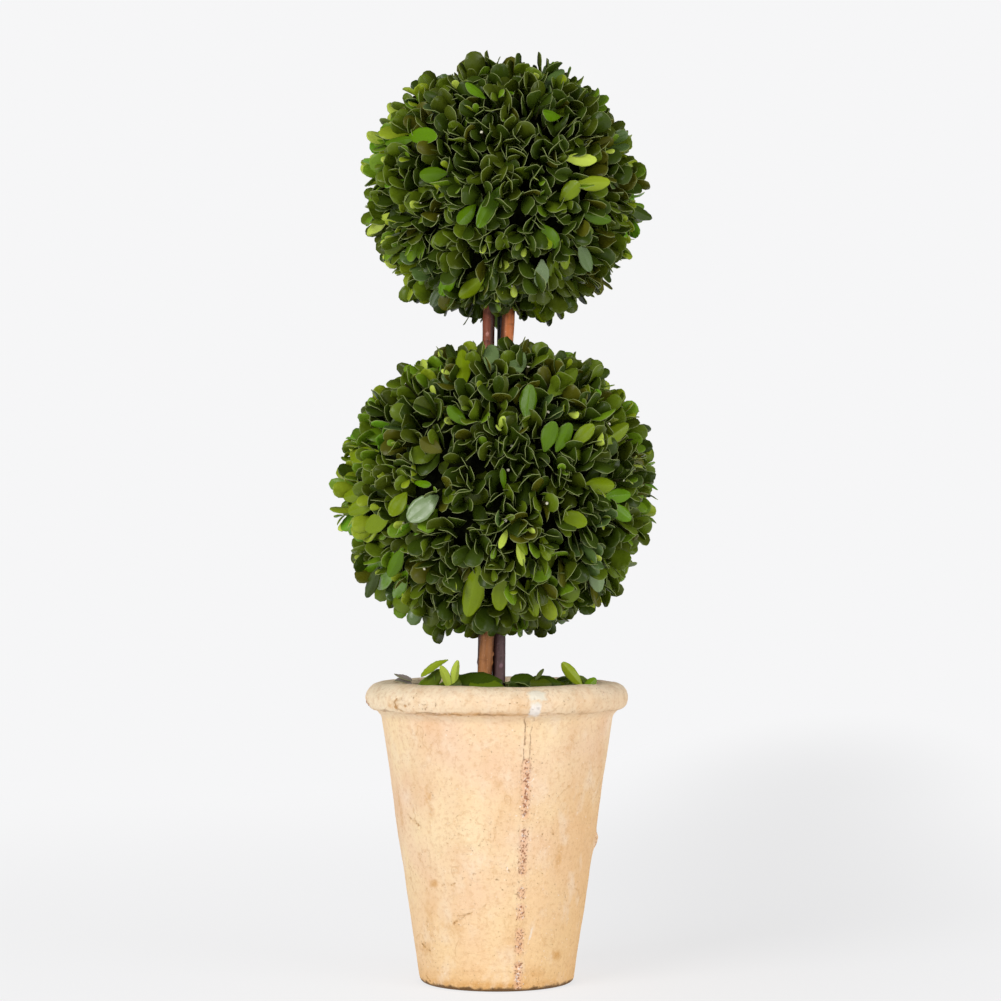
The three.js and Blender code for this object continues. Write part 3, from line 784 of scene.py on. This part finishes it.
# Single leaves that lie across the others and catch the eye: where root and tip are, across and up
# from the ball's centre as seen from the front, then the width, all in millimetres.
SHOWY_LEAVES = {
    "upper": [
        (-58, 33, -39, 29, 10, "fresh"), (35, 19, 50, 16, 7.5, "lime"), (41, 3, 57, 4, 8.5, "yellow"),
        (-3, 2, -15, -21, 9, "grass"), (23, 61, 32, 65, 7, "blue"), (71, -9, 80, -16, 7, "dark"),
        (-9, 65, -9, 72.5, 4, "mid"), (-12, 55, -22, 58, 5.5, "fresh"), (-5, 59, 4, 53, 4.5, "fresh"),
        (33, 44, 21, 42, 7, "fresh"), (-54, 31, -66, 25, 6, "grass"), (-69, -14, -75, -24, 7, "lime"),
        (-64, 20, -74, 16, 7, "grass"), (-18, -9, -26, -19, 8, "grass"), (45, -14, 58, -17, 8, "grass"),
        (37, -20, 48, -24, 7.5, "mid"), (17, -26, 25, -32, 8, "moss"), (34, -30, 33, -44, 6.5, "moss"),
        (-29, -46, -36, -59, 8, "fresh"), (-13, -53, -25, -59, 8.5, "moss"), (22, -42, 19, -54, 9, "sheen"),
        (16, -62, 21, -72, 7, "moss"), (-35, -54, -41, -66, 7.5, "blue"), (44, -31, 46, -45, 7.5, "blue"),
        (-32, 56, -38, 64, 7, "mid"), (-19, 60, -16, 69.5, 6, "dark"), (22, -21, 28, -32, 9, "grass"),
        (33, -7, 40, 4, 9, "moss"), (-35, 10, -47, 8, 9, "grass"),
    ],
    "lower": [
        (-36, -4, -50, -17, 12.5, "sheen"), (-51, 4, -37, 2, 4, "fresh"), (-12, -45, -17, -69, 12, "moss"),
        (2, -49, 0, -67, 9.5, "moss"), (-62, -38, -75, -45, 10, "fresh"), (-57, -35, -60, -48, 8, "grass"),
        (-60, -48, -69, -55, 8, "fresh"), (-71, -46, -72, -59, 7, "dark"), (-23, 70, -29, 82, 6, "dark"),
        (62, -5, 72, -3, 8, "fresh"), (65, -9, 72, -17, 8, "fresh"), (27, 22, 30, 37, 9, "grass"),
        (34, 22, 39, 36, 8.5, "grass"), (16, 41, 17, 57, 9.5, "grass"), (50, 2, 63, 2, 9.5, "moss"),
        (36, -15, 48, -19, 9, "moss"), (-19, 38, -28, 45, 7, "grass"), (-71, 26, -81, 33, 8, "grass"),
        (-71, 22, -82, 17, 9, "moss"), (-72, 1, -84, -5, 10, "moss"), (-71, -6, -82, -13, 9, "moss"),
        (58, -40, 54, -56, 10, "sheen"), (43, 26, 52, 35, 8, "moss"), (-5, 69, -4, 78, 9, "sheen"),
        (8, 66, 13, 76, 9, "sheen"), (5, -24, 0, -33, 4, "lime"), (9, -24, 15, -36, 4.5, "moss"),
        (11, -31, 13, -42, 4.5, "lime"), (25, -27, 27, -39, 6, "moss"), (3, 0, 2, 11, 3.5, "grass"),
        (-55, -2, -59, -15, 9, "moss"), (-64, -14, -73, -23, 10, "moss"), (-54, -48, -60, -61, 9, "fresh"),
        (17, -54, 20, -69, 8, "moss"), (-34, 22, -43, 27, 9, "brown"), (59, 26, 70, 35, 9, "moss"),
        (-21, 60, -20, 75, 9, "moss"), (28, 54, 43, 66, 10, "mid"),
    ],
}
SHOWY_ROOT_DEPTH = 7
SPRIGS = {"lower": 400, "upper": 325}
GOLDEN_ANGLE = math.pi * (3 - math.sqrt(5))
# Pairs of leaves up a sprig: how far under the outline their tips end, their lengths, and their
# lean from the sprig, each with a spread either way, in millimetres and degrees.
DEEP_PAIR = {"end": (8.0, 2.0), "length": (15, 3), "lean": (46, 12), "turn": 45}
PAIRS = [
    DEEP_PAIR,
    {"end": (4.5, 2.0), "length": (17, 3), "lean": (27, 11), "turn": 0},
    {"end": (1.5, 2.0), "length": (17, 3), "lean": (18, 10), "turn": 90},
    {"end": (-2.0, 2.2), "length": (16, 3), "lean": (9, 8), "turn": 180},
]
YOUNG_PAIR = {"end": (-0.5, 1.5), "length": (7, 1.5), "lean": (22, 12)}
SPRIG_REACH_SPREAD = 0.046
LEAF_WIDTHS = (9.3, 1.5)  # mean and spread
NARROWEST, WIDEST = 5.8, 11.5
YOUNG_SIZE = 0.42
HANG = 0.1
STRAY, LEAN_ASTRAY = 0.05, 0.16  # how far a sprig strays from its place, and from pointing outward
TURN_SPREAD = 22
ROLL_SPREAD = 35
ROLLED_SHARE = 0.6  # of the leaves, which face outward within that spread. The rest face anywhere
YOUNG_SHARE = 0.3  # of the sprigs, which end in a small young pair
CUT_SHARE = 0.2  # of the sprigs, whose clipped ends show pale
SPRAY_SHARE = 0.5  # of the leaves, which have their spray's green
BLUE_SHARE = 0.02
# Painted light and shade in the leaves' greens: how light they are in the middle of the front and back,
# at the sides, the top and the foot.
PAINTED_LIGHT_BY_PLACE = {"upper": (-0.34, 0.9, 0.42, 0.0), "lower": (-0.26, 0.76, 0.6, 0.3)}
GREEN_STEPS = [
    (-0.1, "dark"), (0.16, "olive"), (0.25, "brown"), (0.58, "mid"),
    (0.8, "light"), (1.02, "yellow"), (1.2, "bright"),
]
YOUNG_GREENS = ("light", "yellow", "lime", "mid")
# The deepest pair of each sprig takes dark greens: painted shade deep among the leaves.
SHADED_DEEP_GREENS = ("dark", "dark", "olive", "mid")


def any_side(heading):
    helper = Vector((0, 0, 1)) if abs(heading.z) < 0.9 else Vector((1, 0, 0))
    return helper.cross(heading).normalized()


def spiral_heading(index, count):
    """Headings spread evenly over a sphere, on a spiral."""
    z = 1 - 2 * (index + 0.5) / count
    flat = math.sqrt(1 - z * z)
    azimuth = index * GOLDEN_ANGLE
    return Vector((flat * math.cos(azimuth), flat * math.sin(azimuth), z))


def on_front(ball, spot):
    """The point of a ball's outline that is seen from the front at a place across and up it.

    The front of a ball is nearer than its middle, so it is seen further from the eye's own height.
    """
    eye = CAMERA_PLACE / MM - Vector(ball["centre"])
    x, z = spot
    depth = 0.0
    for _ in range(4):
        nearer = 1 + depth / eye.y
        x, z = eye.x + (spot[0] - eye.x) * nearer, eye.z + (spot[1] - eye.z) * nearer
        level = max(0.0, 1 - abs(z / ball["height"]) ** SQUARENESS)
        flat = ball["width"] * level ** (1 / SQUARENESS)
        depth = math.sqrt(max(0.0, flat ** 2 - x ** 2))
    return Vector((x, -depth, z))


def showy_leaves(name):
    """The placed leaves of a ball, from its centre. Their stalk ends lie hidden under the others."""
    ball, draw = BALLS[name], random.Random(3)
    placed = []
    for *spots, width, green in SHOWY_LEAVES[name]:
        seen_from = on_front(ball, spots[:2])
        tip = on_front(ball, spots[2:]) - Vector((0, 2, 0))
        root = seen_from - seen_from.normalized() * SHOWY_ROOT_DEPTH
        outward = (seen_from + tip).normalized() * 0.6 + Vector((draw.uniform(-0.3, 0.3), -0.8, 0.1))
        fold = draw.choice((-0.35, -0.25, 0.2))
        placed.append(leaf(root, tip, outward, width, green, fold, draw.uniform(-0.1, 0.05)))
    return placed


def green_for(ball_name, heading, draw):
    """The green of one leaf: sprays of one colour, with painted shade in the middle of the front and the
    back and painted light at the sides, the top, the foot and a little towards the left.
    """
    light_spray = noise.noise(heading * 2.6 + Vector((BALLS[ball_name]["seed"], 0, 0)))
    middle, sides, top, foot = PAINTED_LIGHT_BY_PLACE[ball_name]
    place = middle + sides * heading.x ** 2 - 0.06 * heading.x
    place += (top if heading.z > 0 else foot) * heading.z ** 2
    level = draw.gauss(0, 0.34) + 0.75 * light_spray + place
    if draw.random() < BLUE_SHARE:
        return "blue"
    return next((name for limit, name in GREEN_STEPS if level < limit), "lime")


def grow_ball(ball_name):
    """The leaves and twigs of a ball, sprig by sprig, from inside the core to the outline."""
    ball = BALLS[ball_name]
    draw = random.Random(ball["seed"])
    centre = Vector(ball["centre"])
    placed = showy_leaves(ball_name)
    kept_free = [
        (item["root"] + item["axis"] * item["length"] * share, 2 + 0.55 * item["width"])
        for item in placed for share in (0.4, 0.65, 0.9)
    ] + [(Vector(spot), reach) for spot, reach in ball["bare"]]
    leaves, twigs = [], []

    def either(spread):
        return draw.uniform(-spread, spread)

    def jolt(spread):
        return Vector((either(spread), either(spread), either(spread)))

    for index in range(SPRIGS[ball_name]):
        heading = (spiral_heading(index, SPRIGS[ball_name]) + jolt(STRAY)).normalized()
        outline = clipped_radius(ball, heading) * (1 + either(SPRIG_REACH_SPREAD))
        aim = (heading + jolt(LEAN_ASTRAY) - Vector((0, 0, HANG * 0.5))).normalized()
        sideways = any_side(aim)
        turn = draw.uniform(0, 360)
        spray_green = green_for(ball_name, heading, draw)
        cut = draw.random() < CUT_SHARE
        twig_end = heading * (outline - (4 if cut else 8) - 3 * draw.random())
        twig_root = heading * (outline - LEAF_STAND - 4)
        twigs.append({"root": twig_root + centre, "tip": twig_end + centre, "cut": cut})
        shoots = [(pair, pair["turn"] + side, 1) for pair in PAIRS for side in (0, 180)]
        if draw.random() < YOUNG_SHARE:
            shoots += [(YOUNG_PAIR, side, YOUNG_SIZE) for side in (45, 225)]
        for pair, side, size in shoots:
            away = Matrix.Rotation(math.radians(turn + side + either(TURN_SPREAD)), 3, aim) @ sideways
            lean = math.radians(pair["lean"][0] + either(pair["lean"][1]))
            axis = aim * math.cos(lean) + away * math.sin(lean) - Vector((0, 0, HANG * draw.random()))
            axis = axis.normalized()
            length = pair["length"][0] + either(pair["length"][1])
            reach = outline - pair["end"][0] + either(pair["end"][1])
            tip = heading * (reach - 2) + away * (1.2 * size + math.sin(lean) * length)
            tip = tip.normalized() * reach
            root = tip - axis * length
            upper_side = aim * math.sin(lean) - away * math.cos(lean)
            roll = either(ROLL_SPREAD) if draw.random() < ROLLED_SHARE else draw.uniform(0, 360)
            width = max(NARROWEST, min(WIDEST, draw.gauss(*LEAF_WIDTHS))) * size
            green = spray_green if draw.random() < SPRAY_SHARE else green_for(ball_name, heading, draw)
            if pair is YOUNG_PAIR:
                green = draw.choice(YOUNG_GREENS)
            elif pair is DEEP_PAIR:
                green = draw.choice(SHADED_DEEP_GREENS)
            fold = draw.choice((-1, 1)) * draw.uniform(0.03, 0.3)
            curl, twist, notch = draw.uniform(-0.28, 0.06), either(0.35), draw.uniform(-0.01, 0.03)
            if any((tip - spot).length < reach and tip.y < spot.y + 6 for spot, reach in kept_free):
                continue
            facing = Matrix.Rotation(math.radians(roll), 3, axis) @ upper_side
            leaves.append(leaf(root, tip, facing, width, green, fold, curl, twist, notch))
    for item in leaves + placed:
        item["root"] = item["root"] + centre
    return leaves, placed, twigs


TWIG_RADIUS = 0.7
CUT_RADIUS = 0.85


def twig_mesh(name, twigs):
    """Five-sided twigs that taper, whose far ends take the second finish where they are cut."""
    shape = bmesh.new()
    for twig in twigs:
        run = twig["tip"] - twig["root"]
        turned = run.to_track_quat("Z", "Y").to_matrix().to_4x4()
        stand = Matrix.Translation((twig["root"] + run / 2) * MM) @ turned
        end_radius = CUT_RADIUS if twig["cut"] else 0.4 * TWIG_RADIUS
        made = bmesh.ops.create_cone(
            shape, cap_ends=True, segments=5, radius1=TWIG_RADIUS * MM, radius2=end_radius * MM,
            depth=run.length * MM, matrix=stand,
        )
        if twig["cut"]:
            caps = [face for face in made["verts"][-1].link_faces if len(face.verts) == 5]
            far = max(caps, key=lambda face: (face.calc_center_median() - twig["root"] * MM).length)
            far.material_index = 1
    mesh = mesh_of(name, shape)
    mesh.materials.append(twig_finish)
    mesh.materials.append(cut_finish)
    return mesh


twig_finish = new_finish("twig_bark", "4a4426", 0.7, 0.1)
coloured(laid_over("1f1d10", "4d4a28", limits(grain(twig_finish, 500, 3), 0.35, 0.65)))
cut_finish = new_finish("cut_wood", "d8d4bc", 0.7, 0.2)
roughened(limits(grain(cut_finish, 900, 2), 0.35, 0.65, 0.6, 0.8))

for name, ball in BALLS.items():
    leaves, placed, twigs = grow_ball(name)
    for half, behind in (("front", False), ("back", True)):
        members = [item for item in leaves if (item["root"].y >= ball["centre"][1]) == behind]
        mesh = leaves_mesh(f"leaves_{name}_{half}", members)
        add_piece(f"leaves_{name}_{half}", mesh, [ball["node"]])
    showy = leaves_mesh("showy_leaves_" + name, placed, SHOWY_BLADE, VEIN_HEIGHT)
    add_piece("showy_leaves_" + name, showy)
    add_piece("twigs_" + name, twig_mesh("twigs_" + name, twigs))

# ------------------------ leaves on the foam
# Loose box leaves are glued over the foam to hide it, most lying flat and some standing on edge
# against the rim and the sticks.
FOAM_TOP = 154
LITTER_THICKNESS = 3.5
LITTER_LEAVES = 260
LITTER_RING = (9, 51)  # where the leaves' middles lie
LITTER_REACH = (7, 53)  # where their ends may
LITTER_GREENS = ("olive", "dark", "dark", "mid", "light", "brown")
# The leaves that stand highest: root, tip, way it faces, width, green, fold and curl.
STANDING_LEAVES = [
    ((-24.5, -36, 158), (-29.5, -41, 173), (-0.3, -0.9, 0.1), 5.2, "lime", -0.35, 0.05),
    ((-23.5, -36, 158), (-20.8, -40, 175.5), (0.4, -0.9, 0.1), 5, "lime", -0.4, 0),
    ((-26, -31, 175), (-41, -34, 167.5), (-0.3, -0.6, 0.7), 6, "yellow", 0.4, -0.12),
    ((-42, -34, 157), (-30, -29, 170), (-0.3, -0.8, 0.5), 9, "mid", -0.3, 0),
    ((-44, -24, 157), (-32, -30, 166), (0, -0.8, 0.6), 10, "light", -0.2, 0.1),
    ((-33, -38, 157), (-19, -38, 164), (0.1, -0.8, 0.6), 11, "olive", -0.4, 0),
    ((3, -35, 163.5), (-25, -37, 162), (0, -0.9, 0.45), 18, "dark", -0.45, -0.04),
    ((4, -38, 160.5), (-15, -40, 161.5), (0, -0.85, 0.5), 16, "mid", -0.5, -0.1),
    ((22, -34, 163.5), (7, -36, 164.5), (0, -0.85, 0.5), 13, "dark", -0.4, -0.1),
    ((34, -34, 162.5), (17, -36, 164.5), (0.1, -0.85, 0.5), 12, "dark", -0.5, -0.1),
    ((29, -37, 162.5), (17.5, -39, 163.5), (0.1, -0.85, 0.5), 9, "olive", -0.4, -0.1),
    ((38, -32, 160), (25, -33, 162), (0.1, -0.85, 0.5), 10, "olive", -0.4, -0.1),
    ((20, -36, 164), (24.8, -36.5, 170.6), (0, -1, 0.2), 2.4, "olive", 0.6, -0.15),
    ((46, -26, 160), (34.5, -31, 174), (-0.2, -0.9, 0.3), 6.6, "yellow", -0.4, 0.02),
    ((46, -26, 158), (53, -22, 165), (0.1, -0.9, 0.3), 6, "light", -0.2, 0),
    ((50, -16, 158), (43, -20, 166), (0.1, -0.9, 0.3), 6, "mid", 0.2, 0),
    ((-45, -29, 161), (-55, -22, 166.5), (-0.2, -0.5, 0.8), 5, "dry", 0.9, -0.3),
    ((-55, -21, 167), (-46, -28, 160.5), (0.1, -0.5, 0.8), 4, "dry", 0.9, 0.3),
    ((30, 20, 158), (44, 12, 164), (0, -0.6, 0.8), 9, "dark", -0.3, 0),
    ((-10, 30, 158), (-24, 26, 165), (0, -0.6, 0.8), 9, "mid", -0.3, 0),
]
litter_draw = random.Random(5)
litter = [leaf(*item) for item in STANDING_LEAVES]
for index in range(LITTER_LEAVES):
    radius = mix(*LITTER_RING, math.sqrt((index + 0.5) / LITTER_LEAVES))
    azimuth = index * GOLDEN_ANGLE
    heading = azimuth + litter_draw.uniform(0, 2 * math.pi)
    rise = math.radians(3 + 24 * litter_draw.random() ** 2)
    axis = Vector((math.cos(heading) * math.cos(rise), math.sin(heading) * math.cos(rise), math.sin(rise)))
    level = FOAM_TOP + 0.8 + LITTER_THICKNESS * litter_draw.random()
    middle = Vector((radius * math.cos(azimuth), radius * math.sin(azimuth), level))
    half_run = axis * litter_draw.uniform(7, 11)
    root, tip = middle - half_run, middle + half_run
    facing = Vector((litter_draw.uniform(-0.5, 0.5), litter_draw.uniform(-0.5, 0.5), 1))
    green = litter_draw.choice(LITTER_GREENS)
    fold, curl = litter_draw.uniform(-0.3, 0.3), litter_draw.uniform(-0.12, 0.12)
    width, twist = litter_draw.uniform(8, 11.5), litter_draw.uniform(-0.4, 0.4)
    ends = (root.xy.length, tip.xy.length)
    if max(ends) > LITTER_REACH[1] or min(ends) < LITTER_REACH[0]:
        continue
    root.z = max(root.z, FOAM_TOP + 0.4)
    litter.append(leaf(root, tip, facing, width, green, fold, curl, twist))
litter_mesh = leaves_mesh("litter_leaves", litter, SHOWY_BLADE, VEIN_HEIGHT)
add_piece("litter_leaves", litter_mesh, ["leaf_litter"])
